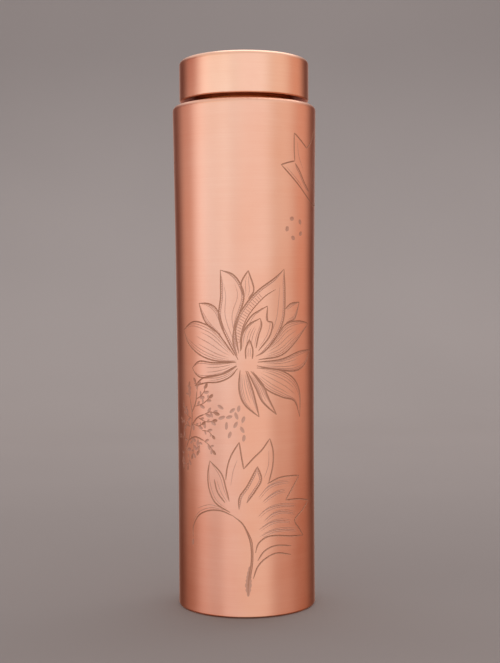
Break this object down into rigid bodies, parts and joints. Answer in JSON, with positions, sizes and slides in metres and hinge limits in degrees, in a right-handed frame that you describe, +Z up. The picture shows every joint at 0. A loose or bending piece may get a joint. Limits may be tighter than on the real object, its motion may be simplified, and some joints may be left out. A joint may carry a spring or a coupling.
{
  "type": "screw-cap copper water bottle",
  "caption": "Slim round copper water bottle with a lightly waisted wall, recessed base, threaded neck and a flat-topped screw cap sealed by a washer.",
  "frame": {"origin": "centre of the foot, on the surface that the bottle stands on", "axes": "+Z up along the bottle's axis, from the foot to the cap; the engraved front faces -Y"},
  "size_m": [0.0736, 0.0736, 0.28],
  "materials": {
    "body_copper": "satin copper, brushed round the axis, line-engraved with a flower motif",
    "base_copper": "plain pressed copper, lightly dulled",
    "neck_copper": "turned copper, lightly dulled",
    "cap_copper": "satin copper, brushed round the axis",
    "insert_copper": "plain pressed copper",
    "braze": "pale brazing filler, as run",
    "silicone": "translucent white silicone"
  },
  "bodies": {
    "bottle": {"body_shell": "body_copper", "base_disc": "base_copper", "base_braze_ring": "braze", "neck_collar": "neck_copper", "neck_braze_ring": "braze"},
    "seal": {"cap_seal": "silicone"},
    "cap": {"cap_shell": "cap_copper", "cap_insert": "insert_copper", "seal_retainer": "insert_copper"}
  },
  "joints": [
    {"name": "cap_lift", "type": "slide", "parent": "bottle", "child": "seal", "axis": [0, 0, 1], "range_m": [0, 0.035]},
    {"name": "cap_turn", "type": "hinge", "parent": "seal", "child": "cap", "pos_m": [0, 0, 0.2588], "axis": [0, 0, 1], "range_deg": [0, 2520]}
  ],
  "couplings": [
    {"joint": "cap_lift", "follows": "cap_turn", "m_per_rad": 0.00079577}
  ]
}
